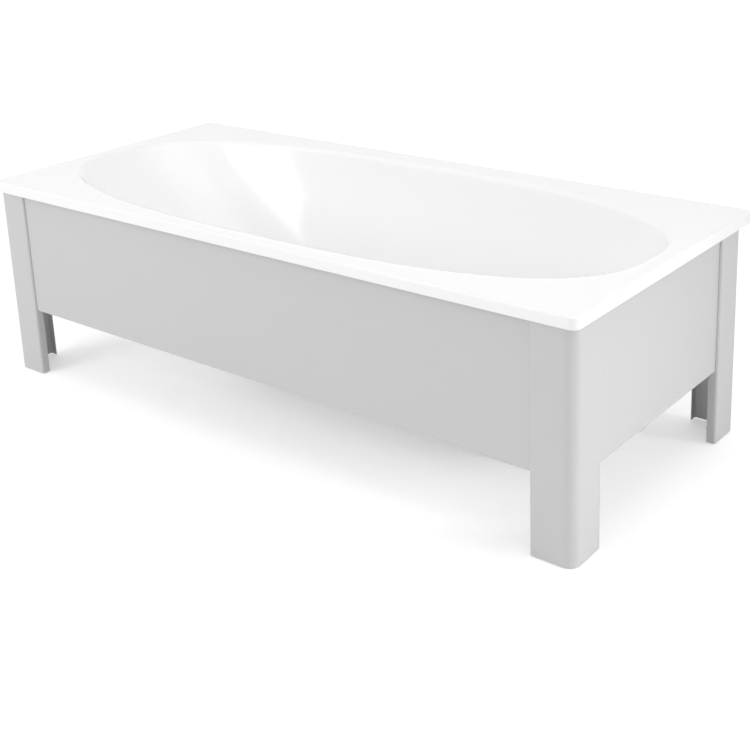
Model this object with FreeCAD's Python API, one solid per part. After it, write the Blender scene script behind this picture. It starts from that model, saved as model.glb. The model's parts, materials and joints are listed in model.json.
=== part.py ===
import FreeCAD, Part
import math
import os

from FreeCAD import Placement, Rotation, Vector

os.makedirs("parts", exist_ok=True)

# Alcove bathtub on corner legs, in millimetres.
# Origin: on the floor, under the middle of the rim. +X runs along the tub to the foot end (waste and
# overflow), +Y to the wall at its back, +Z up.

# ---------------------------------------------------------------- tub, one pressing of enamelled steel
rim_length = 1800.0
rim_width = 800.0
rim_height = 540.0
shell_thickness = 3.0
lip_height = 27.0
rim_corner_radius = 18.0
rim_edge_radius = 6.0
margin_foot = 47.0            # deck left between the basin and the edge, at the foot end
margin_head = 50.0            # the same at the head end, above the backrest
margin_front = 48.0
margin_wall = 78.0
basin_edge_radius = 12.0
room_under_basin = 155.0      # from the ground to the basin floor at the waste: the waste and trap need it
basin_roundness = 2.7         # exponent of the plan's superellipse: 2 is an ellipse, more is squarer
foot_wall_slope = 0.195       # how far a wall leans in for each millimetre down
side_wall_slope = 0.13
backrest_slope = 1.1
floor_bend_radius = 70.0
floor_fall = 0.01             # drop of the basin floor per millimetre towards the waste
outline_points = 32
fuse_overlap = 1.0            # how far two fused shapes reach into each other

# ---------------------------------------------------------------- legs, folded sheet steel
leg_wing_long = 102.0         # wing along the tub's long side
leg_wing_short = 107.0        # wing along its short side
leg_return = 22.0             # flange folded inwards at each wing's free edge
leg_thickness = 2.0
leg_corner_radius = 25.0
leg_bend_radius = 6.0         # outside radius of the folds at the wings' free edges
leg_ground_gap = 2.0
leg_inset = 8.0               # from the rim's edge to the leg's face, at the front and both ends
leg_inset_wall = 40.0         # the same at the back, to clear skirting and pipes

# ---------------------------------------------------------------- rails between the legs, under the deck
rail_height = 40.0
rail_flange = 13.0
rail_thickness = 3.0
rail_bend_radius = 4.0
rail_behind_panel = 11.3      # from a panel's inner face to the rail's face
deck_pad_thickness = 4.0      # foam strips and rubber pads between the frame and the deck
deck_strip_width = 6.5
deck_strip_inset = 1.0        # from the rail's face
end_plate_gap = 0.5           # from a panel's inner face to a rail's end plate
end_plate_height = 25.0
corner_plate_thickness = 3.0
corner_pad_inset = 9.0        # from the legs' faces
corner_pad_size = 60.0

# ---------------------------------------------------------------- screws
rail_screw_radius = 3.0
rail_screw_length = 15.0
rail_screw_behind_panel = 6.3  # from a panel's inner face to the screw's axis
rail_screw_rise = (6.5, 18.5)  # above the rail's lower edge
screw_clearance = 0.3         # radial, in a plain hole
thread_clearance = 0.05       # radial, where a thread engages
m6_across_flats = 10.0
m6_head_height = 4.0
m6_nut_height = 5.0
catch_screw_radius = 2.0
catch_screw_length = 9.0
catch_screw_head_radius = 3.6
catch_screw_head_height = 2.4

# ---------------------------------------------------------------- panels, folded sheet steel
panel_thickness = 1.2
panel_bottom = 186.0
panel_drop = 20.0             # from the rim's top to the panel's top edge
panel_recess = 6.0            # behind the legs' face
panel_side_gap = 1.0
panel_top_return = 11.0
panel_bottom_return = 13.0
panel_bottom_lip = 8.0
panel_bend_radius = 2.0
hook_width = 50.0
hook_drop = 6.0
hook_gap = 0.6                # between a hook and the rail's back face
hook_slot_side_gap = 2.0
hook_slot_rise = 9.2          # height of the slot that takes a hook
front_hook_count = 3
end_hook_count = 2
hook_end_distance = 190.0     # from a panel's end to its first hook on the front panel
hook_end_distance_short = 90.0
catch_width = 12.0
catch_depth = 14.0
catch_height = 40.0
catch_middle = 230.0          # above the floor
catch_gap = 0.3               # between a catch and the panel it holds

# ---------------------------------------------------------------- levelling feet
foot_inset = 35.0             # from both faces of the leg to the foot's axis
foot_pad_radius = 18.0
foot_pad_height = 10.0
foot_stud_radius = 5.0
foot_stud_top = 100.0
foot_stud_seat = 5.0          # how deep the stud stands in its pad
foot_collar_height = 6.0
foot_collar_flats = 17.0
foot_bracket_bottom = 60.0
foot_bracket_thickness = 3.0
foot_bracket_size = 47.0
foot_boss_radius = 11.0
foot_boss_height = 12.0
lock_nut_height = 8.0

# ---------------------------------------------------------------- waste in the basin floor
waste_from_foot_edge = 300.0
recess_depth = 3.0
recess_radius = 39.0
waste_hole_radius = 26.0
waste_flange_radius = 35.0
waste_rim_thickness = 2.6
waste_gasket_thickness = 1.0
waste_neck_radius = 24.0
waste_neck_wall = 3.0
waste_neck_length = 31.0
waste_seat_radius = 31.0
waste_seat_drop = 3.9
waste_hole_play = 0.5         # between the flange's underside and the hole's edge
top_gasket_outside = 2.0      # top gasket: past the seat's edge, and clear of the hole
top_gasket_inside = 1.0
lower_gasket_inset = 1.0      # lower gasket: inside the body flange's edge
cross_width = 3.0
guide_radius = 6.0
guide_drop = 15.0             # from the flange's top to the guide's top
guide_height = 10.0
lower_gasket_thickness = 3.0
body_flange_radius = 38.0
body_flange_thickness = 4.0
body_outer_radius = 34.0
body_wall = 4.0
body_height = 46.0
body_thread_length = 20.0
drain_pipe_radius = 20.0
drain_pipe_wall = 2.5
body_spigot_length = 16.0

# ---------------------------------------------------------------- pop-up plug and its lever
plug_cap_radius = 30.5
plug_cap_gap = 0.3
plug_cap_edge = 1.5
plug_cap_crown = 3.2
plug_hub_radius = 21.5
plug_hub_height = 3.0
plug_seal_radius = 28.0
plug_seal_height = 1.2
plug_stem_radius = 3.0
plug_tip_radius = 2.5
plug_tip_length = 6.0
running_clearance = 0.05
lever_arm = 14.0              # from the lever's pin to the stem's axis
lever_overhang = 5.0
lever_width = 8.0
lever_thickness = 4.0
lever_tip_gap = 0.3
lever_pin_radius = 2.0
lever_lug_thickness = 3.0
lever_side_gap = 0.4
lever_height = 14.0           # from the body's outlet floor to the lever's pin

# ---------------------------------------------------------------- overflow in the foot end wall
overflow_depth = 100.0        # from the deck down to its middle
overflow_hole_radius = 27.0
overflow_seat_radius = 37.5
overflow_seat_cut = 0.3
overflow_throat_stop = 10.0   # how far short of the body's axis the pipe's throat ends
overflow_boss_radius = 40.0
overflow_gasket_thickness = 3.0
overflow_body_radius = 38.0
overflow_body_depth = 34.0
overflow_body_wall = 3.0
overflow_ring_radius = 35.0
overflow_ring_thickness = 2.0
overflow_window_radius = 4.5
overflow_window_circle = 13.5
overflow_windows = 6
overflow_screw_spread = 22.0
overflow_screw_radius = 2.0
overflow_screw_length = 26.0
overflow_screw_head_radius = 3.6
overflow_screw_head_height = 1.6
overflow_post_radius = 4.5
spindle_radius = 5.0
spindle_bearing_length = 6.0
crank_radius = 13.0
crank_thickness = 4.0
crank_setback = 20.0          # behind the wall's inner face
knob_radius = 33.0
knob_gap = 6.3                # between the ring and the knob, where water enters
knob_thickness = 9.0
knob_edge_radius = 3.0
knob_hub_radius = 9.0
knob_grip_length = 54.0
knob_grip_width = 8.0
knob_grip_height = 7.0

# ---------------------------------------------------------------- pipes and compression joints
overflow_pipe_radius = 12.5
overflow_pipe_wall = 1.7
overflow_bend_radius = 80.0
pipe_insertion = 12.0
bore_overlap = 5.0            # past the step, so that two bores open into each other
collar_wall = 4.0
nut_wall = 5.0
nut_overlap = 10.0
nut_end = 2.5
nut_ribs = 8
nut_rib_depth = 1.5
nut_rib_width = 5.0
washer_thickness = 2.5
nut_pipe_clearance = 0.3
branch_length = 62.0          # from the waste's axis to the end of its overflow branch

# ---------------------------------------------------------------- trap
trap_radius = 42.0
trap_wall = 3.0
trap_collar_height = 14.0
trap_top_below_body = 20.0
trap_bottom = 15.0
trap_outlet_below_top = 22.0  # from the drum's top to the outlet's axis
trap_dip_gap = 8.5            # under the dip tube: leaves a 19 mm water seal
trap_outlet_length = 76.0
trap_cap_wall = 4.0
trap_cap_overlap = 11.0
trap_cap_floor = 3.0
trap_cap_seal_height = 2.0
outlet_pipe_wall = 1.8
outlet_spigot_length = 20.0   # the end that goes through the trap's nut into its socket
outlet_spigot_relief = 0.3    # how much smaller it is, in radius
outlet_from_wall = 15.0       # from the rim's back edge to the pipe's end

# ---------------------------------------------------------------- pull cable between knob and plug
cable_radius = 3.0
gland_radius = 4.5
gland_length = 17.0
gland_offset = 28.0
gland_overrun = 3.0           # how far the wire's hole goes on into the waste body's wall
gland_step = 1.0              # sheath's radius less the hole that its wire goes on through
gland_angle = -50.0           # where the cable enters the waste body, seen from above
cable_runs_radius_share = 0.45
cable_end_run = 50.0          # straight stretch out of each gland
cable_beside_wall = (         # gap behind the foot wall's line, sideways from the middle, share of the drop
    (52.0, -27.0, 0.722),
    (58.5, -30.0, 0.4415),
    (57.6, -39.0, 0.1714),
)
cable_under_basin = (         # from the waste: along, sideways, and rise from the basin floor
    (208.0, -61.0, -7.0),
    (157.0, -87.0, -27.0),
    (104.0, -97.0, -35.0),
)

# ---------------------------------------------------------------- bonding point and anti-drumming pads
earth_tab_width = 25.0
earth_tab_height = 34.0
earth_tab_thickness = 3.0
earth_tab_from_end = 240.0    # from the rim's foot end
earth_tab_from_edge = 24.0
earth_bolt_radius = 3.0
earth_bolt_length = 16.0
sound_pad_width = 260.0
sound_pad_thickness = 4.0
sound_pad_count = 3
sound_pad_gap = 30.0
sound_pad_from_waste = 90.0
sound_pad_from_backrest = 156.5

# ---------------------------------------------------------------- places worked out from the sizes
edge_x = rim_length / 2
edge_y = rim_width / 2
deck_underside = rim_height - shell_thickness
frame_top = deck_underside - deck_pad_thickness
rail_bottom = frame_top - rail_height
leg_face_x = edge_x - leg_inset
leg_front_y = -edge_y + leg_inset
leg_back_y = edge_y - leg_inset_wall
long_span = 2 * (leg_face_x - leg_wing_long)
short_span = leg_back_y - leg_front_y - 2 * leg_wing_short
short_middle_y = (leg_back_y + leg_front_y) / 2
panel_top = rim_height - panel_drop
panel_back = panel_recess + panel_thickness
rail_setback = panel_back + rail_behind_panel
rail_screw_setback = panel_back + rail_screw_behind_panel

basin_middle_y = (margin_front - margin_wall) / 2
basin_depth = rim_height - room_under_basin
floor_z = room_under_basin
seat_z = floor_z - recess_depth
waste_x = edge_x - waste_from_foot_edge
waste_y = basin_middle_y
waste_under_z = seat_z - shell_thickness
waste_rim_top = seat_z + waste_gasket_thickness + waste_rim_thickness
body_top = waste_under_z - lower_gasket_thickness
body_bottom = body_top - body_height
body_floor = body_bottom + body_wall
branch_z = body_floor + body_wall + overflow_pipe_radius
pin_x = waste_x - lever_arm
pin_z = body_floor + lever_height
trap_top = body_bottom - trap_top_below_body
trap_outlet_height = trap_top - trap_outlet_below_top

earth_tab_x = edge_x - earth_tab_from_end
sound_pad_start = margin_head - edge_x + backrest_slope * basin_depth + sound_pad_from_backrest
sound_pad_pitch = (waste_x - sound_pad_from_waste + sound_pad_gap - sound_pad_start) / sound_pad_count
sound_pad_length = sound_pad_pitch - sound_pad_gap

foot_wall_x = edge_x - margin_foot
overflow_lean = math.atan(foot_wall_slope)
overflow_out = Vector(-math.cos(overflow_lean), 0, math.sin(overflow_lean))
overflow_centre = Vector(foot_wall_x - foot_wall_slope * overflow_depth, basin_middle_y,
                         rim_height - overflow_depth)
overflow_back = -overflow_seat_cut - shell_thickness
overflow_body_front = overflow_back - overflow_gasket_thickness
overflow_body_back = overflow_body_front - overflow_body_depth

UP = Vector(0, 0, 1)
DOWN = Vector(0, 0, -1)
ALONG = Vector(1, 0, 0)
BACK = Vector(0, 1, 0)
CORNERS = (("front", "left"), ("front", "right"), ("back", "left"), ("back", "right"))

parts = {}


def add(name, shape):
    """Keep a solid, or a list of separate solids, as the node called name."""
    parts[name] = Part.makeCompound(shape) if isinstance(shape, list) else shape


# ---------------------------------------------------------------- simple shapes
def box(x_range, y_range, z_range):
    low = Vector(x_range[0], y_range[0], z_range[0])
    return Part.makeBox(x_range[1] - x_range[0], y_range[1] - y_range[0], z_range[1] - z_range[0], low)


def cylinder(start, axis, radius, length):
    return Part.makeCylinder(radius, length, start, axis)


def ring(start, axis, outer, inner, length):
    return cylinder(start, axis, outer, length).cut(cylinder(start, axis, inner, length))


def hexagon(start, axis, across_flats, length):
    """A hexagonal prism with two of its corners on the local X axis."""
    corner = across_flats / math.sqrt(3)
    corners = [Vector(corner * math.cos(k * math.pi / 3), corner * math.sin(k * math.pi / 3), 0)
               for k in range(7)]
    prism = Part.Face(Part.makePolygon(corners)).extrude(Vector(0, 0, length))
    prism.Placement = Placement(start, Rotation(UP, axis))
    return prism


def turned(points, start, axis):
    """A solid turned about axis from (radius, height) points of its half section."""
    section = Part.makePolygon([Vector(r, 0, h) for r, h in points + points[:1]])
    solid = Part.Face(section).revolve(Vector(0, 0, 0), UP, 360)
    solid.Placement = Placement(start, Rotation(UP, axis))
    return solid


# ---------------------------------------------------------------- folded sheet
def rounded_line(points, radii, place):
    """Edges along 2D points with an arc of the given radius at each inner point."""
    edges = []
    last = Vector(*points[0], 0)
    for here, ahead, radius in zip(points[1:-1], points[2:], radii):
        corner = Vector(*here, 0)
        arriving = (corner - last).normalize()
        leaving = (Vector(*ahead, 0) - corner).normalize()
        turn = arriving.getAngle(leaving)
        cut = radius * math.tan(turn / 2)
        start = corner - arriving * cut
        end = corner + leaving * cut
        inward = (leaving - arriving).normalize()
        middle = corner + inward * (radius / math.cos(turn / 2) - radius)
        edges.append(Part.LineSegment(place(last), place(start)).toShape())
        edges.append(Part.Arc(place(start), place(middle), place(end)).toShape())
        last = end
    edges.append(Part.LineSegment(place(last), place(Vector(*points[-1], 0))).toShape())
    return edges


def moved_inwards(points, distance):
    """The same 2D line moved by distance to its right, corners kept."""
    lines = []
    for (x0, y0), (x1, y1) in zip(points, points[1:]):
        length = math.hypot(x1 - x0, y1 - y0)
        right_x, right_y = (y1 - y0) / length, -(x1 - x0) / length
        lines.append(((x0 + right_x * distance, y0 + right_y * distance), (right_y, -right_x),
                      (x1 + right_x * distance, y1 + right_y * distance)))
    moved = [lines[0][0]]
    for (start, (ux, uy), _), (other, (vx, vy), _) in zip(lines, lines[1:]):
        across = ux * vy - uy * vx
        step = ((other[0] - start[0]) * vy - (other[1] - start[1]) * vx) / across
        moved.append((start[0] + ux * step, start[1] + uy * step))
    moved.append(lines[-1][2])
    return moved


def folded_sheet(points, radii, thickness, place, sweep):
    """Sheet folded along 2D points of its outer face, every fold turning right, then extruded."""
    inner = moved_inwards(points, thickness)
    inner_radii = [max(radius - thickness, thickness / 2) for radius in radii]
    outside = rounded_line(points, radii, place)
    inside = rounded_line(inner, inner_radii, place)
    ends = [Part.LineSegment(place(Vector(*points[k], 0)), place(Vector(*inner[k], 0))).toShape()
            for k in (0, -1)]
    wire = Part.Wire(Part.__sortEdges__(outside + inside + ends))
    return Part.Face(wire).extrude(sweep)


# ---------------------------------------------------------------- tub shell
def basin_outline(depth, grow):
    """Closed outline of the basin at a depth below the deck, moved out by grow for the outer skin."""
    bend_start = basin_depth - floor_bend_radius
    bend = floor_bend_radius + grow
    bent = bend - math.sqrt(max(bend ** 2 - (depth - bend_start) ** 2, 0)) if depth > bend_start else 0

    def inset(slope):
        return slope * depth - grow * math.sqrt(1 + slope ** 2) + bent

    foot = edge_x - margin_foot - inset(foot_wall_slope)
    head = -edge_x + margin_head + inset(backrest_slope)
    front = -edge_y + margin_front + inset(side_wall_slope)
    back = edge_y - margin_wall - inset(side_wall_slope)
    points = []
    for k in range(outline_points):
        turn = 2 * math.pi * k / outline_points
        c, s = math.cos(turn), math.sin(turn)
        reach = (abs(c) ** basin_roundness + abs(s) ** basin_roundness) ** (-1 / basin_roundness)
        x = (foot + head) / 2 + (foot - head) / 2 * reach * c
        y = (front + back) / 2 + (back - front) / 2 * reach * s
        fall = floor_fall * (waste_x - x) * min(depth / basin_depth, 1)
        points.append(Vector(x, y, rim_height - depth + fall))
    curve = Part.BSplineCurve()
    curve.interpolate(Points=points, PeriodicFlag=True)
    return Part.Wire([curve.toShape()])


def basin_form(grow, first_depth):
    """Solid of the basin's inner skin, or of its outer one where grow is the wall."""
    bend_start = basin_depth - floor_bend_radius
    bend = floor_bend_radius + grow
    bend_depths = [bend_start + bend * math.sin(math.radians(angle)) for angle in range(0, 91, 15)]
    walls = Part.makeLoft([basin_outline(first_depth, grow), basin_outline(bend_start, grow)], True, True)
    return walls.fuse(Part.makeLoft([basin_outline(depth, grow) for depth in bend_depths], True, False))


def rounded_block(x_half, y_half, z_range, corner, edge):
    """Block with rounded upright corners and a rounded top edge."""
    block = box((-x_half, x_half), (-y_half, y_half), z_range)
    upright = [e for e in block.Edges if abs(e.BoundBox.ZLength - (z_range[1] - z_range[0])) < 0.001]
    block = block.makeFillet(corner, upright)
    return block.makeFillet(edge, [e for e in block.Edges if e.BoundBox.ZMin > z_range[1] - 0.001])


def basin_edge(shape, height):
    """The edge where the basin meets the deck's face at this height."""
    return [e for e in shape.Edges
            if abs(e.BoundBox.ZMin - height) < 0.05 and abs(e.BoundBox.ZMax - height) < 0.05
            and rim_length / 2 < e.BoundBox.XLength < rim_length - margin_foot]


def tub_shell():
    lip_bottom = rim_height - lip_height
    deck = rounded_block(edge_x, edge_y, (lip_bottom, rim_height), rim_corner_radius, rim_edge_radius)
    hollow = rounded_block(edge_x - shell_thickness, edge_y - shell_thickness, (lip_bottom, deck_underside),
                           rim_corner_radius - shell_thickness, rim_edge_radius - shell_thickness)
    shell = deck.cut(hollow).fuse(basin_form(shell_thickness, shell_thickness / 2))
    shell = shell.cut(basin_form(0, -shell_thickness / 2))
    shell = shell.makeFillet(basin_edge_radius, basin_edge(shell, rim_height))
    shell = shell.makeFillet(basin_edge_radius - shell_thickness, basin_edge(shell, deck_underside))

    waste = Vector(waste_x, waste_y, waste_under_z)
    seat = Vector(waste_x, waste_y, seat_z)
    shell = shell.fuse(cylinder(waste, UP, recess_radius + shell_thickness, recess_depth + shell_thickness))
    shell = shell.cut(cylinder(seat, UP, recess_radius, recess_depth + shell_thickness))
    shell = shell.cut(cylinder(waste, UP, waste_hole_radius, shell_thickness))

    wall_front = overflow_centre - overflow_out * overflow_seat_cut
    wall_back = overflow_centre + overflow_out * overflow_back
    shell = shell.fuse(cylinder(wall_back, overflow_out, overflow_boss_radius, shell_thickness))
    shell = shell.cut(cylinder(wall_back, -overflow_out, overflow_boss_radius, shell_thickness))
    shell = shell.cut(cylinder(wall_front, overflow_out, overflow_seat_radius, 2 * shell_thickness))
    through = wall_back - overflow_out * shell_thickness
    return shell.cut(cylinder(through, overflow_out, overflow_hole_radius, 3 * shell_thickness))


def sound_pad(middle_x):
    """Bitumen pad on the sloping underside of the basin floor."""
    half_x, half_y = sound_pad_length / 2, sound_pad_width / 2
    pad = box((-half_x, half_x), (-half_y, half_y), (-sound_pad_thickness, 0))
    height = floor_z - shell_thickness + floor_fall * (waste_x - middle_x)
    tilt = Rotation(BACK, math.degrees(math.atan(floor_fall)))
    pad.Placement = Placement(Vector(middle_x, basin_middle_y, height), tilt)
    return pad


def earth_point():
    """Bonding tab under the deck at the back, with its bolt and nut."""
    y = edge_y - earth_tab_from_edge
    half = earth_tab_width / 2
    hole = Vector(earth_tab_x, y, deck_underside - earth_tab_height + half)
    tab = box((earth_tab_x - half, earth_tab_x + half), (y - earth_tab_thickness, y),
              (deck_underside - earth_tab_height, deck_underside))
    through = cylinder(hole - BACK * earth_tab_thickness, BACK, earth_bolt_radius + screw_clearance,
                       earth_tab_thickness)
    bolt = hexagon(hole, BACK, m6_across_flats, m6_head_height)
    bolt = bolt.fuse(cylinder(hole, -BACK, earth_bolt_radius, earth_bolt_length))
    nut_face = hole - BACK * earth_tab_thickness
    nut = hexagon(nut_face, -BACK, m6_across_flats, m6_nut_height)
    nut = nut.cut(cylinder(nut_face, -BACK, earth_bolt_radius + thread_clearance, m6_nut_height))
    return tab.cut(through), bolt, nut


# ---------------------------------------------------------------- frame
def at_corner(shape, depth_side, length_side):
    """Move a shape from a leg's own corner, where its wings run along +X and +Y, to its place."""
    shape = shape.copy()
    x, y = -leg_face_x, leg_front_y
    if length_side == "right":
        shape = shape.mirror(Vector(0, 0, 0), ALONG)
        x = leg_face_x
    if depth_side == "back":
        shape = shape.mirror(Vector(0, 0, 0), BACK)
        y = leg_back_y
    shape.translate(Vector(x, y, 0))
    return shape


def at_side(shape, side):
    """Move a shape from a side's own axes, X along it and Y inwards, to its place."""
    turns = {"front": 0, "right": 90, "back": 180, "left": -90}
    places = {"front": Vector(0, leg_front_y, 0), "back": Vector(0, leg_back_y, 0),
              "right": Vector(leg_face_x, short_middle_y, 0), "left": Vector(-leg_face_x, short_middle_y, 0)}
    shape = shape.copy()
    shape.Placement = Placement(places[side], Rotation(UP, turns[side])).multiply(shape.Placement)
    return shape


def leg():
    """Corner leg at its own corner: two wings, a round outer fold and a return flange on each wing."""
    points = [(leg_wing_long, leg_return), (leg_wing_long, 0), (0, 0), (0, leg_wing_short),
              (leg_return, leg_wing_short)]
    radii = [leg_bend_radius, leg_corner_radius, leg_bend_radius]
    shape = folded_sheet(points, radii, leg_thickness, lambda p: Vector(p.x, p.y, leg_ground_gap),
                         Vector(0, 0, frame_top - leg_ground_gap))
    for rise in rail_screw_rise:
        for start, axis in ((Vector(leg_wing_long, rail_screw_setback, rail_bottom + rise), -ALONG),
                            (Vector(rail_screw_setback, leg_wing_short, rail_bottom + rise), -BACK)):
            shape = shape.cut(cylinder(start, axis, rail_screw_radius + screw_clearance, leg_thickness))
    return shape


def leg_with_catch_holes(depth_side, length_side):
    """The leg, with a hole in each return flange that carries a panel catch."""
    shape = leg()
    depth = panel_back + catch_gap + catch_depth / 2
    if depth_side == "front":
        start = Vector(leg_wing_long, depth, catch_middle)
        shape = shape.cut(cylinder(start, -ALONG, catch_screw_radius + screw_clearance, leg_thickness))
    if length_side == "right":
        start = Vector(depth, leg_wing_short, catch_middle)
        shape = shape.cut(cylinder(start, -BACK, catch_screw_radius + screw_clearance, leg_thickness))
    return at_corner(shape, depth_side, length_side)


def corner_plate():
    """Plate welded flush in the top of a leg, cut off at the corners to clear the folds."""
    t, fold, bend = leg_thickness, leg_corner_radius, leg_bend_radius
    x_end, y_end = leg_wing_long - t, leg_wing_short - t
    corners = [(fold, t), (leg_wing_long - bend, t), (x_end, bend), (x_end, leg_return), (leg_return, y_end),
               (bend, y_end), (t, leg_wing_short - bend), (t, fold)]
    points = [Vector(x, y, frame_top - corner_plate_thickness) for x, y in corners + corners[:1]]
    return Part.Face(Part.makePolygon(points)).extrude(Vector(0, 0, corner_plate_thickness))


def corner_pad():
    """Rubber pad on a corner plate, under the deck."""
    low = corner_pad_inset
    size = corner_pad_size
    pad = box((low, low + size), (low, low + size), (frame_top, deck_underside))
    outer = Vector(low + size, low + size, frame_top)
    far = Part.makePolygon([outer, outer - ALONG * size / 2, outer - BACK * size / 2, outer])
    return pad.cut(Part.Face(far).extrude(Vector(0, 0, deck_pad_thickness)))


def hook_places(span, count, end_distance):
    """Positions of a panel's hooks along its side."""
    first = -span / 2 + end_distance
    return [first + k * -2 * first / (count - 1) for k in range(count)]


def rail(span, hooks):
    """Angle rail with a drilled end plate and two weld nuts at each end, slotted for panel hooks."""
    points = [(rail_setback, rail_bottom), (rail_setback, frame_top),
              (rail_setback + rail_flange, frame_top)]
    shape = folded_sheet(points, [rail_bend_radius], rail_thickness,
                         lambda p: Vector(-span / 2, p.x, p.y), Vector(span, 0, 0))
    for end in (-1, 1):
        outer = end * span / 2
        inner = outer - end * rail_thickness
        plate = box(sorted((outer, inner)), (panel_back + end_plate_gap, rail_setback),
                    (rail_bottom, rail_bottom + end_plate_height))
        shape = shape.fuse(plate)
        for rise in rail_screw_rise:
            start = Vector(inner, rail_screw_setback, rail_bottom + rise)
            shape = shape.fuse(hexagon(start, -ALONG * end, m6_across_flats, m6_nut_height))
            through = Vector(outer, rail_screw_setback, rail_bottom + rise)
            shape = shape.cut(cylinder(through, -ALONG * end, rail_screw_radius + thread_clearance,
                                       rail_thickness + m6_nut_height))
    half = hook_width / 2 + hook_slot_side_gap
    slot_bottom = panel_top - panel_thickness
    for x in hooks:
        shape = shape.cut(box((x - half, x + half), (rail_setback, rail_setback + rail_thickness),
                              (slot_bottom, slot_bottom + hook_slot_rise)))
    return shape


def rail_screw(side, end, rise, span):
    """Hexagon screw from inside a leg into a rail's end plate."""
    start = Vector(end * (span / 2 + leg_thickness), rail_screw_setback, rail_bottom + rise)
    screw = hexagon(start, ALONG * end, m6_across_flats, m6_head_height)
    screw = screw.fuse(cylinder(start, -ALONG * end, rail_screw_radius, rail_screw_length))
    return at_side(screw, side)


def deck_strip(span):
    """Foam strip on a rail's flange, under the deck."""
    start = rail_setback + deck_strip_inset
    return box((-span / 2, span / 2), (start, start + deck_strip_width), (frame_top, deck_underside))


# ---------------------------------------------------------------- panels
def panel(span, hooks):
    """Folded panel between two legs, with a return at its foot and hooks on its top return."""
    length = span - 2 * panel_side_gap
    face = panel_recess
    points = [(face + panel_bottom_return, panel_bottom + panel_bottom_lip),
              (face + panel_bottom_return, panel_bottom), (face, panel_bottom), (face, panel_top),
              (face + panel_top_return, panel_top)]
    shape = folded_sheet(points, [panel_bend_radius] * 3, panel_thickness,
                         lambda p: Vector(-length / 2, p.x, p.y), Vector(length, 0, 0))
    hook_back = rail_setback + rail_thickness + hook_gap
    for x in hooks:
        across = (x - hook_width / 2, x + hook_width / 2)
        tab = box(across, (face + panel_top_return, hook_back + panel_thickness),
                  (panel_top - panel_thickness, panel_top))
        nose = box(across, (hook_back, hook_back + panel_thickness),
                   (panel_top - panel_thickness - hook_drop, panel_top))
        shape = shape.fuse(tab).fuse(nose)
    return shape


def catch(end, span):
    """Magnet catch on a leg's return flange, behind the panel, and its screw."""
    front = panel_back + catch_gap
    x = end * span / 2
    block = box(sorted((x, x - end * catch_width)), (front, front + catch_depth),
                (catch_middle - catch_height / 2, catch_middle + catch_height / 2))
    head = Vector(end * (span / 2 + leg_thickness), front + catch_depth / 2, catch_middle)
    screw = cylinder(head, ALONG * end, catch_screw_head_radius, catch_screw_head_height)
    screw = screw.fuse(cylinder(head, -ALONG * end, catch_screw_radius, catch_screw_length))
    bore = cylinder(head, -ALONG * end, catch_screw_radius + thread_clearance, catch_screw_length)
    return block.cut(bore), screw


# ---------------------------------------------------------------- levelling feet
def foot_axis(height):
    return Vector(foot_inset, foot_inset, height)


def foot_bracket():
    """Threaded plate welded between a leg's wings, its corner cut off to clear the fold."""
    t, fold, end = leg_thickness, leg_corner_radius, foot_bracket_size
    corners = [(fold, t), (end, t), (end, end), (t, end), (t, fold)]
    points = [Vector(x, y, foot_bracket_bottom) for x, y in corners + corners[:1]]
    plate = Part.Face(Part.makePolygon(points)).extrude(Vector(0, 0, foot_bracket_thickness))
    base = foot_axis(foot_bracket_bottom)
    height = foot_bracket_thickness + foot_boss_height
    plate = plate.fuse(cylinder(base, UP, foot_boss_radius, height))
    return plate.cut(cylinder(base, UP, foot_stud_radius + thread_clearance, height))


def foot_pad():
    half_top = foot_pad_radius - 3
    seat = foot_pad_height - foot_stud_seat
    bore = foot_stud_radius + running_clearance
    section = [(0, 0), (foot_pad_radius, 0), (foot_pad_radius, foot_pad_height / 2),
               (half_top, foot_pad_height), (bore, foot_pad_height), (bore, seat), (0, seat)]
    return turned(section, foot_axis(0), UP)


def foot_stud():
    seat = foot_pad_height - foot_stud_seat
    stud = cylinder(foot_axis(seat), UP, foot_stud_radius, foot_stud_top - seat)
    return stud.fuse(hexagon(foot_axis(foot_pad_height), UP, foot_collar_flats, foot_collar_height))


def lock_nut():
    base = foot_axis(foot_bracket_bottom + foot_bracket_thickness + foot_boss_height)
    nut = hexagon(base, UP, foot_collar_flats, lock_nut_height)
    return nut.cut(cylinder(base, UP, foot_stud_radius + thread_clearance, lock_nut_height))


# ---------------------------------------------------------------- compression joints
def collar_ring(end, axis, pipe_radius, length):
    """Collar of a fitting that takes a pipe; end is its mouth and axis points out of it."""
    return cylinder(end, -axis, pipe_radius + collar_wall, length)


def compression_nut(end, axis, pipe_radius):
    """Ribbed nut over a collar's mouth, closed round the pipe."""
    thread = pipe_radius + collar_wall + thread_clearance
    outer = pipe_radius + collar_wall + nut_wall
    start, top = -nut_overlap, washer_thickness + nut_end
    section = [(thread, start), (outer, start), (outer, top), (pipe_radius + nut_pipe_clearance, top),
               (pipe_radius + nut_pipe_clearance, washer_thickness), (thread, washer_thickness)]
    nut = turned(section, Vector(0, 0, 0), UP)
    for k in range(nut_ribs):
        rib = box((outer - fuse_overlap, outer + nut_rib_depth),
                  (-nut_rib_width / 2, nut_rib_width / 2), (start, top))
        rib.rotate(Vector(0, 0, 0), UP, 360 * k / nut_ribs)
        nut = nut.fuse(rib)
    nut.Placement = Placement(end, Rotation(UP, axis))
    return nut


def compression_washer(end, axis, pipe_radius):
    return ring(end, axis, pipe_radius + collar_wall, pipe_radius + thread_clearance, washer_thickness)


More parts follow.
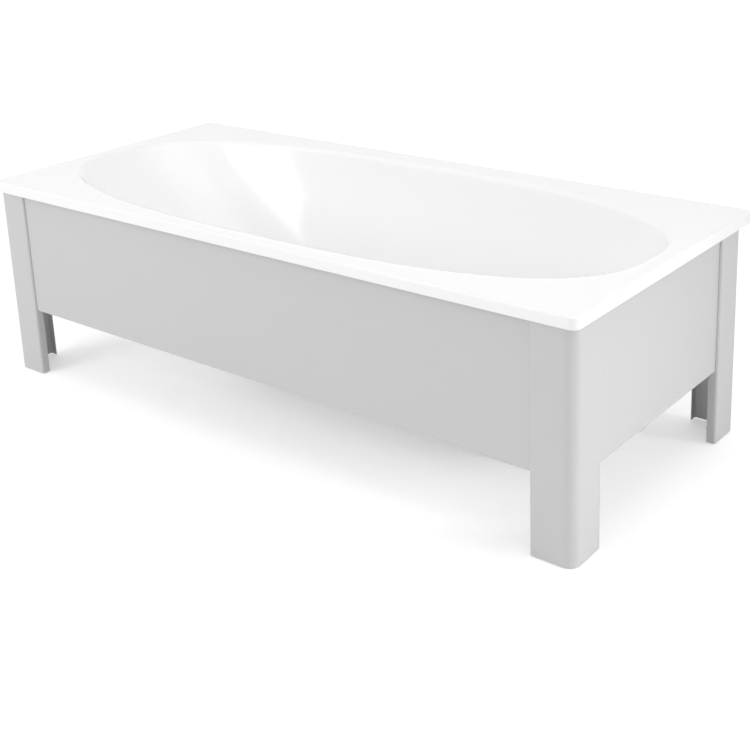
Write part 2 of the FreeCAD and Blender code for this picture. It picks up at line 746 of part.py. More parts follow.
# ---------------------------------------------------------------- waste
def waste_flange():
    """Dished flange with a threaded neck, a cross and a guide for the plug's stem."""
    top = waste_rim_top
    bottom = top - waste_rim_thickness
    inner = waste_neck_radius - waste_neck_wall
    neck_end = bottom - waste_neck_length
    section = [(waste_seat_radius, top), (waste_flange_radius, top), (waste_flange_radius, bottom),
               (waste_hole_radius + waste_hole_play, bottom),
               (waste_neck_radius, bottom - waste_hole_radius - waste_hole_play + waste_neck_radius),
               (waste_neck_radius, neck_end), (inner, neck_end), (inner, top - waste_seat_drop)]
    axis = Vector(waste_x, waste_y, 0)
    flange = turned(section, axis, UP)
    guide = Vector(waste_x, waste_y, top - guide_drop - guide_height)
    half = inner + 1
    spoke = cross_width / 2
    z_range = (guide.z + 2, guide.z + 2 + cross_width)
    flange = flange.fuse(box((waste_x - half, waste_x + half), (waste_y - spoke, waste_y + spoke), z_range))
    flange = flange.fuse(box((waste_x - spoke, waste_x + spoke), (waste_y - half, waste_y + half), z_range))
    flange = flange.fuse(cylinder(guide, UP, guide_radius, guide_height))
    return flange.cut(cylinder(guide, UP, plug_stem_radius + running_clearance, guide_height))


def waste_body():
    """Cup under the floor: thread for the flange, branch for the overflow, outlet, lugs and gland."""
    thread = waste_neck_radius + thread_clearance
    inner = body_outer_radius - body_wall
    thread_end = body_top - body_thread_length
    bore = drain_pipe_radius - drain_pipe_wall
    spigot_end = body_bottom - body_spigot_length
    section = [(thread, body_top), (body_flange_radius, body_top),
               (body_flange_radius, body_top - body_flange_thickness),
               (body_outer_radius, body_top - body_flange_thickness), (body_outer_radius, body_bottom),
               (drain_pipe_radius, body_bottom), (drain_pipe_radius, spigot_end), (bore, spigot_end),
               (bore, body_floor), (inner, body_floor), (inner, thread_end), (thread, thread_end)]
    shape = turned(section, Vector(waste_x, waste_y, 0), UP)

    mouth = Vector(waste_x + branch_length, waste_y, branch_z)
    branch = collar_ring(mouth, ALONG, overflow_pipe_radius, branch_length - inner)
    core = cylinder(Vector(waste_x, waste_y, body_floor), UP, inner, thread_end - body_floor)
    shape = shape.fuse(branch.cut(core))
    shape = shape.cut(cylinder(mouth, -ALONG, overflow_pipe_radius + running_clearance, pipe_insertion))
    shape = shape.cut(cylinder(mouth, -ALONG, overflow_pipe_radius - overflow_pipe_wall,
                               branch_length - inner + bore_overlap))

    for side in (-1, 1):
        near = side * (lever_width / 2 + lever_side_gap)
        far = near + side * lever_lug_thickness
        lug = box((waste_x - inner - fuse_overlap, pin_x + lever_thickness),
                  sorted((waste_y + near, waste_y + far)),
                  (pin_z - lever_thickness, pin_z + lever_thickness))
        shape = shape.fuse(lug)
    span = lever_width + 2 * (lever_side_gap + lever_lug_thickness)
    pin_start = Vector(pin_x, waste_y - span / 2, pin_z)
    shape = shape.cut(cylinder(pin_start, BACK, lever_pin_radius + running_clearance, span))

    out = gland_direction()
    start = Vector(waste_x, waste_y, branch_z) + out * (inner + 1)
    length = body_wall - 1 + gland_length
    shape = shape.fuse(cylinder(start, out, gland_radius, length))
    through = cylinder(start - out * gland_overrun, out, cable_radius - gland_step, length + gland_overrun)
    return shape.cut(through)


def lever_pin():
    span = lever_width + 2 * (lever_side_gap + lever_lug_thickness)
    return cylinder(Vector(pin_x, waste_y - span / 2, pin_z), BACK, lever_pin_radius, span)


def lift_lever():
    """Short lever on the pin; its free end lies under the plug's stem."""
    half = lever_width / 2
    top = lever_thickness / 2
    bar = box((pin_x, waste_x + lever_overhang), (waste_y - half, waste_y + half),
              (pin_z - top, pin_z + top))
    eye = cylinder(Vector(pin_x, waste_y - half, pin_z), BACK, lever_thickness, lever_width)
    lever = bar.fuse(eye)
    bore = lever_pin_radius + running_clearance
    return lever.cut(cylinder(Vector(pin_x, waste_y - half, pin_z), BACK, bore, lever_width))


def plug_pieces():
    """Domed cap, seal ring and stem of the pop-up plug, in its closed place."""
    axis = Vector(waste_x, waste_y, 0)
    low = waste_rim_top + plug_cap_gap
    edge = low + plug_cap_edge
    sphere_radius = (plug_cap_radius ** 2 + plug_cap_crown ** 2) / (2 * plug_cap_crown)
    dome = Part.makeSphere(sphere_radius, Vector(waste_x, waste_y, edge + plug_cap_crown - sphere_radius))
    cap = cylinder(Vector(waste_x, waste_y, low), UP, plug_cap_radius, plug_cap_edge + plug_cap_crown)
    cap = cap.common(dome)

    seal_start = Vector(waste_x, waste_y, low - plug_seal_height)
    seal = ring(seal_start, UP, plug_seal_radius, plug_hub_radius, plug_seal_height)

    tip = pin_z + lever_thickness / 2 + lever_tip_gap
    section = [(0, tip), (plug_tip_radius, tip), (plug_tip_radius, tip + plug_tip_length),
               (plug_stem_radius, tip + plug_tip_length), (plug_stem_radius, low - plug_hub_height),
               (plug_hub_radius, low - plug_hub_height), (plug_hub_radius, low), (0, low)]
    return cap, seal, turned(section, axis, UP)


# ---------------------------------------------------------------- overflow
def at_overflow(shape):
    """Move a shape from the overflow's own axes, +Z into the basin and +X up the wall, to its place."""
    shape = shape.copy()
    shape.Placement = Placement(overflow_centre, Rotation(UP, overflow_out)).multiply(shape.Placement)
    return shape


def overflow_pipe_top():
    """Mouth of the overflow body's collar, pointing down."""
    middle = overflow_centre + overflow_out * ((overflow_body_front + overflow_body_back) / 2)
    return Vector(middle.x, middle.y, middle.z - overflow_body_radius - 2 * pipe_insertion)


def overflow_body():
    """Cup behind the wall with screw posts, a spindle bearing, a pipe collar and a cable gland."""
    depth = overflow_body_depth
    back = Vector(0, 0, overflow_body_back)
    inner_start = Vector(0, 0, overflow_body_back + overflow_body_wall)
    inner = overflow_body_radius - 2 * overflow_body_wall
    outside = at_overflow(cylinder(back, UP, overflow_body_radius, depth))
    cavity = at_overflow(cylinder(inner_start, UP, inner, depth))

    mouth = overflow_pipe_top()
    reach = overflow_body_radius + 2 * pipe_insertion
    collar = collar_ring(mouth, DOWN, overflow_pipe_radius, reach)
    gland = Vector(mouth.x, mouth.y - gland_offset, mouth.z + reach)
    gland_body = cylinder(gland, DOWN, gland_radius, overflow_body_radius)
    shape = outside.fuse(collar).fuse(gland_body).cut(cavity)
    shape = shape.cut(cylinder(mouth, UP, overflow_pipe_radius + running_clearance, pipe_insertion))
    shape = shape.cut(cylinder(mouth, UP, overflow_pipe_radius - overflow_pipe_wall,
                               reach - overflow_throat_stop))
    shape = shape.cut(cylinder(gland, DOWN, cable_radius - gland_step, overflow_body_radius))

    posts = cylinder(inner_start, UP, spindle_radius + overflow_body_wall, spindle_bearing_length)
    for side in (-1, 1):
        post = Vector(0, side * overflow_screw_spread, inner_start.z)
        posts = posts.fuse(cylinder(post, UP, overflow_post_radius, depth - overflow_body_wall))
    shape = shape.fuse(at_overflow(posts))
    bores = cylinder(inner_start, UP, spindle_radius + running_clearance, spindle_bearing_length)
    for side in (-1, 1):
        start = Vector(0, side * overflow_screw_spread, overflow_screw_start() - overflow_screw_length)
        bores = bores.fuse(cylinder(start, UP, overflow_screw_radius + thread_clearance,
                                    overflow_screw_length))
    return shape.cut(at_overflow(bores))


def overflow_screw_start():
    """Height of the screws' head seats, just inside the ring's front face."""
    return overflow_ring_thickness - overflow_seat_cut - overflow_screw_head_height


def overflow_ring():
    start = Vector(0, 0, -overflow_seat_cut)
    thickness = overflow_ring_thickness
    shape = cylinder(start, UP, overflow_ring_radius, thickness)
    shape = shape.cut(cylinder(start, UP, spindle_radius + running_clearance, thickness))
    for k in range(overflow_windows):
        turn = 2 * math.pi * k / overflow_windows
        place = start + Vector(math.cos(turn), math.sin(turn), 0) * overflow_window_circle
        shape = shape.cut(cylinder(place, UP, overflow_window_radius, thickness))
    for side in (-1, 1):
        screw = Vector(0, side * overflow_screw_spread, -overflow_seat_cut)
        shape = shape.cut(cylinder(screw, UP, overflow_screw_radius + screw_clearance, thickness))
        head = Vector(0, side * overflow_screw_spread, overflow_screw_start())
        shape = shape.cut(cylinder(head, UP, overflow_screw_head_radius + screw_clearance, thickness))
    return at_overflow(shape)


def overflow_screw(side):
    start = Vector(0, side * overflow_screw_spread, overflow_screw_start())
    screw = cylinder(start, UP, overflow_screw_head_radius, overflow_screw_head_height)
    return at_overflow(screw.fuse(cylinder(start, DOWN, overflow_screw_radius, overflow_screw_length)))


def knob_back():
    """Height of the knob's back face above the wall."""
    return overflow_ring_thickness - overflow_seat_cut + knob_gap


def overflow_spindle():
    """Spindle from the bearing in the body, through the ring, into the knob, with the cable's crank."""
    bottom = overflow_body_back + overflow_body_wall + running_clearance
    top = knob_back() + knob_thickness / 2
    shape = cylinder(Vector(0, 0, bottom), UP, spindle_radius, top - bottom)
    crank = cylinder(Vector(0, 0, -crank_setback), DOWN, crank_radius, crank_thickness)
    return at_overflow(shape.fuse(crank))


def overflow_knob():
    """Round knob with a hub on its back and a grip across its front."""
    back = knob_back()
    shape = cylinder(Vector(0, 0, back), UP, knob_radius, knob_thickness)
    front = [e for e in shape.Edges if e.BoundBox.ZMin > back + knob_thickness - 0.001]
    shape = shape.makeFillet(knob_edge_radius, front)
    hub_length = knob_gap - 1
    shape = shape.fuse(cylinder(Vector(0, 0, back - hub_length), UP, knob_hub_radius, hub_length))
    half_x, half_y = knob_grip_width / 2, knob_grip_length / 2
    top = back + knob_thickness
    grip = box((-half_x, half_x), (-half_y, half_y), (top - fuse_overlap, top + knob_grip_height))
    upright = [e for e in grip.Edges if e.BoundBox.ZLength > knob_grip_height]
    grip = grip.makeFillet(knob_grip_width / 2 - 0.2, upright)
    shape = shape.fuse(grip)
    socket = knob_thickness / 2 + hub_length
    return at_overflow(shape.cut(cylinder(Vector(0, 0, back - hub_length), UP, spindle_radius, socket)))


def overflow_pipe():
    """Pipe from the overflow body down and round to the waste body's branch."""
    top = overflow_pipe_top()
    start = Vector(top.x, top.y, top.z + pipe_insertion)
    end = Vector(waste_x + branch_length - pipe_insertion, top.y, branch_z)
    r = overflow_bend_radius
    bend_top = Vector(top.x, top.y, branch_z + r)
    bend_end = Vector(top.x - r, top.y, branch_z)
    centre = Vector(top.x - r, top.y, branch_z + r)
    middle = centre + Vector(math.sqrt(0.5), 0, -math.sqrt(0.5)) * r
    path = Part.Wire([Part.LineSegment(start, bend_top).toShape(),
                      Part.Arc(bend_top, middle, bend_end).toShape(),
                      Part.LineSegment(bend_end, end).toShape()])
    outside = swept(path, start, DOWN, overflow_pipe_radius)
    return outside.cut(swept(path, start, DOWN, overflow_pipe_radius - overflow_pipe_wall))


def swept(path, start, axis, radius):
    """Round rod along a path of lines and tangent arcs."""
    circle = Part.Wire([Part.Circle(start, axis, radius).toShape()])
    return path.makePipeShell([circle], True, False)


# ---------------------------------------------------------------- cable
def gland_direction():
    turn = math.radians(gland_angle)
    return Vector(math.cos(turn), math.sin(turn), 0)


def cable_route():
    """Points of the cable from the overflow's gland to the waste body's gland."""
    mouth = overflow_pipe_top()
    start = Vector(mouth.x, mouth.y - gland_offset, mouth.z + 2 * pipe_insertion)
    end = Vector(waste_x, waste_y, branch_z) + gland_direction() * (body_outer_radius + gland_length)
    first = start + DOWN * cable_end_run
    last = end + gland_direction() * cable_end_run
    beside, under = [], []
    for gap, sideways, share in cable_beside_wall:
        z = floor_z + share * (first.z - floor_z)
        x = foot_wall_x - foot_wall_slope * (rim_height - z) + gap
        beside.append(Vector(x, waste_y + sideways, z))
    for along, sideways, rise in cable_under_basin:
        under.append(Vector(waste_x + along, waste_y + sideways, floor_z + rise))
    return [start, first] + beside + under + [last, end]


def pull_cable():
    """Cable sheath: straight runs joined by tangent arcs as large as the runs allow."""
    points = cable_route()
    edges = []
    last = points[0]
    radii = []
    for before, here, ahead in zip(points, points[1:], points[2:]):
        arriving, leaving = (here - before), (ahead - here)
        cut = cable_runs_radius_share * min(arriving.Length, leaving.Length)
        arriving.normalize()
        leaving.normalize()
        turn = arriving.getAngle(leaving)
        radius = cut / math.tan(turn / 2)
        radii.append(round(radius))
        start, end = here - arriving * cut, here + leaving * cut
        inward = (leaving - arriving).normalize()
        middle = here + inward * (radius / math.cos(turn / 2) - radius)
        edges.append(Part.LineSegment(last, start).toShape())
        edges.append(Part.Arc(start, middle, end).toShape())
        last = end
    edges.append(Part.LineSegment(last, points[-1]).toShape())
    path = Part.Wire(edges)
    cable = swept(path, points[0], (points[1] - points[0]).normalize(), cable_radius)
    share = cable.Volume / (path.Length * math.pi * cable_radius ** 2)
    print("cable bend radii, mm:", radii, "volume against section times length:", round(share, 4))
    return cable


# ---------------------------------------------------------------- trap
def trap_body():
    """Shallow drum trap: inlet collar and dip tube on top, outlet collar at its side, open below."""
    axis = Vector(waste_x, waste_y, 0)
    inner = trap_radius - trap_wall
    bore = drain_pipe_radius - drain_pipe_wall
    collar = drain_pipe_radius + collar_wall
    dip = trap_bottom - trap_cap_seal_height + trap_dip_gap
    mouth = trap_top + trap_collar_height
    section = [(bore, dip), (drain_pipe_radius, dip), (drain_pipe_radius, trap_top - trap_wall),
               (inner, trap_top - trap_wall), (inner, trap_bottom), (trap_radius, trap_bottom),
               (trap_radius, trap_top), (collar, trap_top), (collar, mouth),
               (drain_pipe_radius + running_clearance, mouth),
               (drain_pipe_radius + running_clearance, trap_top), (bore, trap_top)]
    drum = turned(section, axis, UP)
    outlet = Vector(waste_x, waste_y + trap_outlet_length, trap_outlet_height)
    core = cylinder(Vector(waste_x, waste_y, trap_bottom), UP, inner, trap_top - trap_bottom)
    side = collar_ring(outlet, BACK, drain_pipe_radius, trap_outlet_length).cut(core)
    top_cut = box((waste_x - trap_radius, waste_x + trap_radius), (waste_y, waste_y + inner),
                  (trap_top, rim_height))
    shape = drum.fuse(side.cut(top_cut))
    shape = shape.cut(cylinder(outlet, -BACK, drain_pipe_radius + running_clearance,
                               pipe_insertion + bore_overlap))
    return shape.cut(cylinder(outlet, -BACK, bore, trap_outlet_length - drain_pipe_radius - bore_overlap))


def trap_cap():
    outer = trap_radius + thread_clearance + trap_cap_wall
    low = trap_bottom - trap_cap_seal_height - trap_cap_floor
    section = [(0, low), (outer, low), (outer, trap_bottom + trap_cap_overlap),
               (trap_radius + thread_clearance, trap_bottom + trap_cap_overlap),
               (trap_radius + thread_clearance, low + trap_cap_floor), (0, low + trap_cap_floor)]
    shape = turned(section, Vector(waste_x, waste_y, 0), UP)
    for k in range(nut_ribs):
        rib = box((outer - fuse_overlap, outer + nut_rib_depth), (-nut_rib_width, nut_rib_width),
                  (low, trap_bottom + trap_cap_overlap))
        rib.rotate(Vector(0, 0, 0), UP, 360 * k / nut_ribs)
        rib.translate(Vector(waste_x, waste_y, 0))
        shape = shape.fuse(rib)
    return shape


def trap_cap_seal():
    start = Vector(waste_x, waste_y, trap_bottom - trap_cap_seal_height)
    return ring(start, UP, trap_radius - running_clearance, trap_radius - 2 * trap_wall,
                trap_cap_seal_height)


def outlet_pipe():
    start = Vector(waste_x, waste_y + trap_outlet_length - pipe_insertion, trap_outlet_height)
    shoulder = start + BACK * outlet_spigot_length
    length = edge_y - outlet_from_wall - shoulder.y
    bore = drain_pipe_radius - outlet_pipe_wall
    spigot = ring(start, BACK, drain_pipe_radius - outlet_spigot_relief, bore, outlet_spigot_length)
    return spigot.fuse(ring(shoulder, BACK, drain_pipe_radius, bore, length)).removeSplitter()


# ---------------------------------------------------------------- the whole tub
def build_tub():
    add("tub_shell", tub_shell())
    first_pad = sound_pad_start + sound_pad_length / 2
    add("sound_pads", [sound_pad(first_pad + k * sound_pad_pitch) for k in range(sound_pad_count)])
    tab, bolt, nut = earth_point()
    add("earth_tab", tab)
    add("earth_bolt", bolt)
    add("earth_nut", nut)


def build_frame():
    front_hooks = hook_places(long_span, front_hook_count, hook_end_distance)
    end_hooks = hook_places(short_span, end_hook_count, hook_end_distance_short)
    spans = {"front": long_span, "back": long_span, "left": short_span, "right": short_span}
    hooks = {"front": front_hooks, "back": [], "left": [], "right": end_hooks}
    for side, span in spans.items():
        add(side + "_rail", at_side(rail(span, hooks[side]), side))
    add("deck_strips", [at_side(deck_strip(span), side) for side, span in spans.items()])
    add("rail_screws", [rail_screw(side, end, rise, span) for side, span in spans.items()
                        for end in (-1, 1) for rise in rail_screw_rise])
    for depth_side, length_side in CORNERS:
        corner = depth_side + "_" + length_side
        add("leg_" + corner, leg_with_catch_holes(depth_side, length_side))
        add("foot_pad_" + corner, at_corner(foot_pad(), depth_side, length_side))
        add("foot_stud_" + corner, at_corner(foot_stud(), depth_side, length_side))
    for name, piece in (("corner_plates", corner_plate), ("corner_pads", corner_pad),
                        ("foot_brackets", foot_bracket), ("lock_nuts", lock_nut)):
        add(name, [at_corner(piece(), *corner) for corner in CORNERS])
    add("front_panel", at_side(panel(long_span, front_hooks), "front"))
    add("end_panel", at_side(panel(short_span, end_hooks), "right"))
    catches, screws = [], []
    for side, span in (("front", long_span), ("right", short_span)):
        for end in (-1, 1):
            block, screw = catch(end, span)
            catches.append(at_side(block, side))
            screws.append(at_side(screw, side))
    add("magnet_catches", catches)
    add("catch_screws", screws)


def build_waste():
    seat = Vector(waste_x, waste_y, seat_z)
    under = Vector(waste_x, waste_y, waste_under_z)
    add("waste_flange", waste_flange())
    add("waste_top_gasket", ring(seat, UP, waste_seat_radius + top_gasket_outside,
                                 waste_hole_radius + top_gasket_inside, waste_gasket_thickness))
    add("waste_bottom_gasket", ring(under, DOWN, body_flange_radius - lower_gasket_inset,
                                    waste_hole_radius, lower_gasket_thickness))
    add("waste_body", waste_body())
    cap, seal, stem = plug_pieces()
    add("plug_cap", cap)
    add("plug_seal", seal)
    add("plug_stem", stem)
    add("lift_lever", lift_lever())
    add("lever_pin", lever_pin())
    gasket_start = Vector(0, 0, overflow_body_front)
    add("overflow_gasket", at_overflow(ring(gasket_start, UP, overflow_body_radius - 2, overflow_hole_radius,
                                            overflow_gasket_thickness)))
    add("overflow_body", overflow_body())
    add("overflow_ring", overflow_ring())
    add("overflow_screws", [overflow_screw(side) for side in (-1, 1)])
    add("overflow_spindle", overflow_spindle())
    add("overflow_knob", overflow_knob())
    add("overflow_pipe", overflow_pipe())
    add("pull_cable", pull_cable())
    add("trap_body", trap_body())
    add("trap_cap", trap_cap())
    add("trap_cap_seal", trap_cap_seal())
    add("outlet_pipe", outlet_pipe())
    pipe_joints = ((overflow_pipe_top(), DOWN), (Vector(waste_x + branch_length, waste_y, branch_z), ALONG))
    trap_joints = ((Vector(waste_x, waste_y, trap_top + trap_collar_height), UP),
                   (Vector(waste_x, waste_y + trap_outlet_length, trap_outlet_height), BACK))
    for name, joints, radius in (("pipe", pipe_joints, overflow_pipe_radius),
                                 ("trap", trap_joints, drain_pipe_radius)):
        add(name + "_nuts", [compression_nut(end, axis, radius) for end, axis in joints])
        add(name + "_washers", [compression_washer(end, axis, radius) for end, axis in joints])


build_tub()
build_frame()
build_waste()
for name, shape in parts.items():
    shape.exportStep("parts/" + name + ".step")
print(len(parts), "nodes,", sum(len(shape.Solids) for shape in parts.values()), "solids")
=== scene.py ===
import json
import math

import bpy
from mathutils import Matrix, Vector

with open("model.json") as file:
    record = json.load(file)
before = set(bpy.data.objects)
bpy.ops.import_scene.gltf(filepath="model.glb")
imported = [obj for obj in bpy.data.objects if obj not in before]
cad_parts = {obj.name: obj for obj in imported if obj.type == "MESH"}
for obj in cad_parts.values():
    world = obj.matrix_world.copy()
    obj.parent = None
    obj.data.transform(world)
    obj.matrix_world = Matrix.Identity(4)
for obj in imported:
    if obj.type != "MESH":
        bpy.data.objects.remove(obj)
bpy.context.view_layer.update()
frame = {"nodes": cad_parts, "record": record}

# ---------------------------------------------------------------- the picture
PICTURE = 750                    # pixels each way
LENS_PIXELS = 1277               # focal length
AXIS_X, AXIS_Y = 392, 195        # where the lens axis meets the picture
CAMERA = Vector((2.018, -2.309, 1.429))
YAW, PITCH, ROLL = math.radians(38.93), math.radians(16.29), math.radians(-2.14)
SENSOR_MM = 36
SIGHT_LIMIT = 60                 # metres

# ---------------------------------------------------------------- the stage
FLOOR_SIZE = 30                  # metres each way
FLOOR_DROP = 0.0005              # metres below the feet
FLOOR_LIFT, FAR_LIFT = 0.36, 0.42    # glow added to the floor near the tub and far from it
FADE_FROM, FADE_TO = 2.5, 7.0        # metres from the tub's middle, between the two
AIR_LIGHT = 0.66
FULL_SPREAD = 180                # degrees, a lamp with no grid

# ---------------------------------------------------------------- patterns
GRAIN_DETAIL, GRAIN_ROUGHNESS = 3.0, 0.55    # octaves of the grain, and how strong the finer ones are
CLOUD_DETAIL = 2.0
MARK_DETAIL, MARK_DEPTH_MM = 2.0, 0.02
MIX_A, MIX_B, MIX_RESULT = 6, 7, 2           # colour sockets of a Mix node


def linear(text):
    """sRGB hex colour to linear light, with alpha 1."""
    parts = [int(text[i:i + 2], 16) / 255 for i in (1, 3, 5)]
    return tuple(c / 12.92 if c <= 0.04045 else ((c + 0.055) / 1.055) ** 2.4 for c in parts) + (1.0,)


def darkened(colour, share):
    """A linear colour with that share of its light taken away."""
    return tuple(c * (1 - share) for c in colour[:3]) + (1.0,)


def add_node(tree, kind, settings=(), links=()):
    """A node of that kind. Settings give an attribute or an input's value, and links feed its inputs."""
    made = tree.nodes.new(kind)
    for name, value in dict(settings).items():
        if isinstance(name, str) and hasattr(made, name):
            setattr(made, name, value)
        else:
            made.inputs[name].default_value = value
    for name, source in dict(links).items():
        tree.links.new(source, made.inputs[name])
    return made


def new_material(name):
    material = bpy.data.materials.new(name)
    material.use_nodes = True
    material.node_tree.nodes.clear()
    return material, material.node_tree


def finish_material(tree, shader):
    add_node(tree, "ShaderNodeOutputMaterial", links={"Surface": shader.outputs[0]})


def per_mm(size_mm):
    """Pattern scale in object metres for features of that size."""
    return 1000.0 / size_mm


# ---------------------------------------------------------------- coated and moulded finishes
def grained(name, colour, settings, grain_mm, grain_depth_mm, cloud_mm, cloud):
    """A coated or moulded surface: one colour that clouds by a small share, and a fine bump.

    A grain too fine to show is drawn coarser than real: 1.5 to 5 mm where the real one is well under 1 mm.
    """
    material, tree = new_material(name)
    place = add_node(tree, "ShaderNodeTexCoord")
    grain = add_node(tree, "ShaderNodeTexNoise",
                     {"Scale": per_mm(grain_mm), "Detail": GRAIN_DETAIL, "Roughness": GRAIN_ROUGHNESS},
                     {"Vector": place.outputs["Object"]})
    bump = add_node(tree, "ShaderNodeBump", {"Strength": 1.0, "Distance": grain_depth_mm / 1000},
                    {"Height": grain.outputs["Fac"]})
    haze = add_node(tree, "ShaderNodeTexNoise", {"Scale": per_mm(cloud_mm), "Detail": CLOUD_DETAIL},
                    {"Vector": place.outputs["Object"]})
    base = linear(colour)
    tone = add_node(tree, "ShaderNodeMix", {"data_type": "RGBA", MIX_A: darkened(base, cloud), MIX_B: base},
                    {0: haze.outputs["Fac"]})
    shader = add_node(tree, "ShaderNodeBsdfPrincipled", settings,
                      {"Base Color": tone.outputs[MIX_RESULT], "Normal": bump.outputs["Normal"]})
    finish_material(tree, shader)
    return material


# Vitreous enamel: glass fused to steel. Deep gloss, with a faint orange peel from the firing.
enamel = grained("vitreous_enamel_fired", "#FCFCFC", {"Roughness": 0.13, "IOR": 1.52},
                 grain_mm=9, grain_depth_mm=0.05, cloud_mm=400, cloud=0.012)
# Polyester powder coat, baked: even satin with a soft shine along the folds.
powder = grained("polyester_powder_coat_baked", "#CECECE", {"Roughness": 0.42, "IOR": 1.5},
                 grain_mm=4, grain_depth_mm=0.03, cloud_mm=250, cloud=0.02)
# Nitrile rubber, moulded into seals and pads: dull, nearly black.
rubber = grained("nitrile_rubber_moulded", "#2A2A2B", {"Roughness": 0.75},
                 grain_mm=1.5, grain_depth_mm=0.03, cloud_mm=40, cloud=0.2)
# Bitumen felt, rolled on under the basin: rough, dark and blotched.
bitumen = grained("bitumen_felt_rolled", "#2B2927", {"Roughness": 0.9},
                  grain_mm=3, grain_depth_mm=0.5, cloud_mm=30, cloud=0.35)
# Closed-cell polyethylene foam, cut into strip: matt mid grey with open cut cells.
foam = grained("polyethylene_foam_cut", "#7C7C7D", {"Roughness": 0.9},
               grain_mm=1.5, grain_depth_mm=0.2, cloud_mm=20, cloud=0.15)
# White polypropylene, moulded into trap and pipes: waxy satin, a little warm.
white_pipe = grained("polypropylene_moulded_white", "#E4E4E0", {"Roughness": 0.35, "IOR": 1.49},
                     grain_mm=5, grain_depth_mm=0.02, cloud_mm=90, cloud=0.03)
# Grey polypropylene, moulded into the waste and overflow bodies: waxy, duller than the white.
grey_pipe = grained("polypropylene_moulded_grey", "#55585C", {"Roughness": 0.45, "IOR": 1.49},
                    grain_mm=4, grain_depth_mm=0.03, cloud_mm=60, cloud=0.08)
# Acetal, moulded: slick and dense, off white.
acetal = grained("acetal_moulded", "#C9C9C6", {"Roughness": 0.35, "IOR": 1.48},
                 grain_mm=4, grain_depth_mm=0.02, cloud_mm=60, cloud=0.05)
# Black nylon, moulded into the feet: half matt.
nylon = grained("nylon_moulded_black", "#232325", {"Roughness": 0.5, "IOR": 1.53},
                grain_mm=2, grain_depth_mm=0.04, cloud_mm=40, cloud=0.15)
# Grey ABS, moulded into the catches: plain satin.
catch_grey = grained("abs_moulded_grey", "#C4C4C4", {"Roughness": 0.45},
                     grain_mm=2, grain_depth_mm=0.03, cloud_mm=40, cloud=0.04)
# PVC sheath, extruded round the pull cable: smooth black satin.
sheath = grained("pvc_sheath_extruded", "#2C2D2F", {"Roughness": 0.4},
                 grain_mm=2, grain_depth_mm=0.02, cloud_mm=30, cloud=0.1)


# ---------------------------------------------------------------- plated finishes
def plated(name, colour, roughness, patch_mm, patch, mark_mm=0.0):
    """A plated metal: its colour, darker patches of crystal or stain, and fine tool marks.

    mark_mm is the marks' size. With 0 the metal has none.
    """
    material, tree = new_material(name)
    place = add_node(tree, "ShaderNodeTexCoord")
    crystals = add_node(tree, "ShaderNodeTexVoronoi", {"Scale": per_mm(patch_mm)},
                        {"Vector": place.outputs["Object"]})
    base = linear(colour)
    tone = add_node(tree, "ShaderNodeMix", {"data_type": "RGBA", MIX_A: base, MIX_B: darkened(base, patch)},
                    {0: crystals.outputs["Color"]})
    links = {"Base Color": tone.outputs[MIX_RESULT]}
    if mark_mm:
        marks = add_node(tree, "ShaderNodeTexNoise", {"Scale": per_mm(mark_mm), "Detail": MARK_DETAIL},
                         {"Vector": place.outputs["Object"]})
        bump = add_node(tree, "ShaderNodeBump", {"Strength": 1.0, "Distance": MARK_DEPTH_MM / 1000},
                        {"Height": marks.outputs["Fac"]})
        links["Normal"] = bump.outputs["Normal"]
    shader = add_node(tree, "ShaderNodeBsdfPrincipled", {"Metallic": 1.0, "Roughness": roughness}, links)
    finish_material(tree, shader)
    return material


# Steel sheet, hot-dip galvanised: dull silver with zinc crystals 12 mm across.
galvanised = plated("galvanised_steel_dipped", "#B9BDC1", 0.42, patch_mm=12, patch=0.18, mark_mm=3)
# Zinc plate on turned and pressed steel: bright. Its marks are drawn coarser than real, so that they show.
zinc = plated("zinc_plated_steel_turned", "#C6C9CD", 0.3, patch_mm=2, patch=0.08, mark_mm=1.5)
# Chrome plate on polished brass: mirror bright.
chrome = plated("chrome_plated_brass_polished", "#DDE0E3", 0.06, patch_mm=25, patch=0.02)

FINISHES = {
    "enamel": enamel, "powder_coat": powder, "galvanised": galvanised, "zinc_screws": zinc,
    "rubber": rubber, "foam": foam, "bitumen": bitumen, "foot_plastic": nylon,
    "catch_plastic": catch_grey, "chrome": chrome, "white_plastic": white_pipe,
    "grey_plastic": grey_pipe, "moving_plastic": acetal, "cable_sheath": sheath,
}
for subpart in frame["record"]["subparts"]:
    for material_slot in frame["nodes"][subpart["node"]].material_slots:
        material_slot.material = FINISHES[subpart["material_slot"]]


# ---------------------------------------------------------------- stage, lights and camera
def camera_or_mirror(tree):
    """The light path, and 1 for what the camera or a mirror sees, else 0."""
    path = add_node(tree, "ShaderNodeLightPath")
    seen = add_node(tree, "ShaderNodeMath", {"operation": "MAXIMUM"},
                    {0: path.outputs["Is Camera Ray"], 1: path.outputs["Is Glossy Ray"]})
    return path, seen


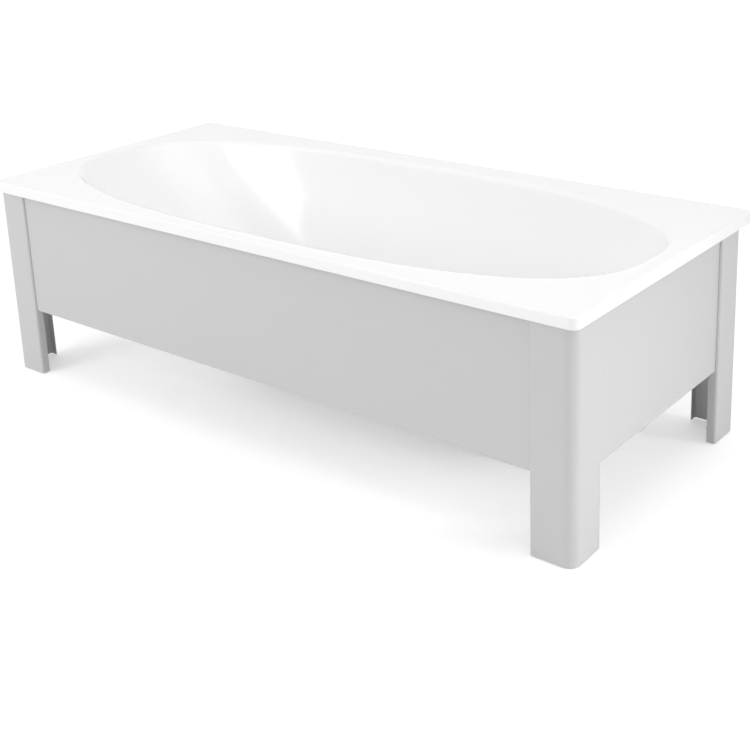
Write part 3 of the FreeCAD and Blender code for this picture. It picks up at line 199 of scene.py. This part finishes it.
def stage_floor():
    """A pale floor that keeps the tub's shadow and fades to the air's white far from the tub."""
    bpy.ops.mesh.primitive_plane_add(size=FLOOR_SIZE, location=(0, 0, -FLOOR_DROP))
    floor = bpy.context.object
    floor.name = "studio_floor"
    material, tree = new_material("studio_floor_paper")
    path, seen = camera_or_mirror(tree)
    place = add_node(tree, "ShaderNodeTexCoord")
    away = add_node(tree, "ShaderNodeVectorMath", {"operation": "LENGTH"}, {0: place.outputs["Object"]})
    fade = add_node(tree, "ShaderNodeMapRange",
                    {"From Min": FADE_FROM, "From Max": FADE_TO, "To Min": FLOOR_LIFT, "To Max": FAR_LIFT},
                    {"Value": away.outputs["Value"]})
    lift = add_node(tree, "ShaderNodeMath", {"operation": "MULTIPLY"},
                    {0: seen.outputs[0], 1: fade.outputs["Result"]})
    matt = add_node(tree, "ShaderNodeBsdfDiffuse", {"Color": linear("#F4F4F4")})
    glow = add_node(tree, "ShaderNodeEmission", {"Color": linear("#FFFFFF")}, {"Strength": lift.outputs[0]})
    both = add_node(tree, "ShaderNodeAddShader", links={0: matt.outputs[0], 1: glow.outputs[0]})
    finish_material(tree, both)
    floor.data.materials.append(material)


def stage_world():
    """White to the camera, to mirrors and through glass, and a plain pale grey light to all else."""
    world = bpy.data.worlds.new("studio_air")
    world.use_nodes = True
    tree = world.node_tree
    tree.nodes.clear()
    path, first = camera_or_mirror(tree)
    seen = add_node(tree, "ShaderNodeMath", {"operation": "MAXIMUM"},
                    {0: first.outputs[0], 1: path.outputs["Is Transmission Ray"]})
    light = add_node(tree, "ShaderNodeBackground", {"Color": linear("#FFFFFF"), "Strength": AIR_LIGHT})
    white = add_node(tree, "ShaderNodeBackground", {"Color": linear("#FFFFFF"), "Strength": 1.0})
    mix = add_node(tree, "ShaderNodeMixShader",
                   links={0: seen.outputs[0], 1: light.outputs[0], 2: white.outputs[0]})
    add_node(tree, "ShaderNodeOutputWorld", links={"Surface": mix.outputs[0]})
    bpy.context.scene.world = world


def soft_box(name, place, aim, size, watts, spread=FULL_SPREAD):
    """A square soft lamp of that size in metres, aimed. A grid narrows its spread, in degrees."""
    lamp = bpy.data.lights.new(name, "AREA")
    lamp.shape, lamp.size, lamp.energy = "SQUARE", size, watts
    lamp.spread = math.radians(spread)
    lamp_object = bpy.data.objects.new(name, lamp)
    lamp_object.location = place
    lamp_object.rotation_euler = (Vector(aim) - Vector(place)).to_track_quat("-Z", "Y").to_euler()
    bpy.context.collection.objects.link(lamp_object)


stage_floor()
stage_world()
soft_box("lamp_over_tub", place=(0, 0, 4.2), aim=(0, 0, 0.4), size=3.4, watts=31)
soft_box("lamp_right", place=(4.3, 1.0, 1.3), aim=(0.9, -0.4, 0.3), size=1.2, watts=2.8, spread=30)
soft_box("lamp_front_left", place=(-1.8, -4.2, 2.6), aim=(0, 0, 0.3), size=2.4, watts=57)

forward = Vector((-math.sin(YAW) * math.cos(PITCH), math.cos(YAW) * math.cos(PITCH), -math.sin(PITCH)))
level = Vector((math.cos(YAW), math.sin(YAW), 0))
upward = level.cross(forward)
right = math.cos(ROLL) * level + math.sin(ROLL) * upward
up = -math.sin(ROLL) * level + math.cos(ROLL) * upward

camera_data = bpy.data.cameras.new("camera")
camera_data.sensor_width = SENSOR_MM
camera_data.lens = SENSOR_MM * LENS_PIXELS / PICTURE
camera_data.shift_x = (PICTURE / 2 - AXIS_X) / PICTURE
camera_data.shift_y = (AXIS_Y - PICTURE / 2) / PICTURE
camera_data.clip_end = SIGHT_LIMIT
camera = bpy.data.objects.new("camera", camera_data)
turn = Matrix((right, up, -forward)).transposed().to_4x4()
camera.matrix_world = Matrix.Translation(CAMERA) @ turn
bpy.context.collection.objects.link(camera)
bpy.context.scene.camera = camera
bpy.context.scene.view_settings.view_transform = "Standard"
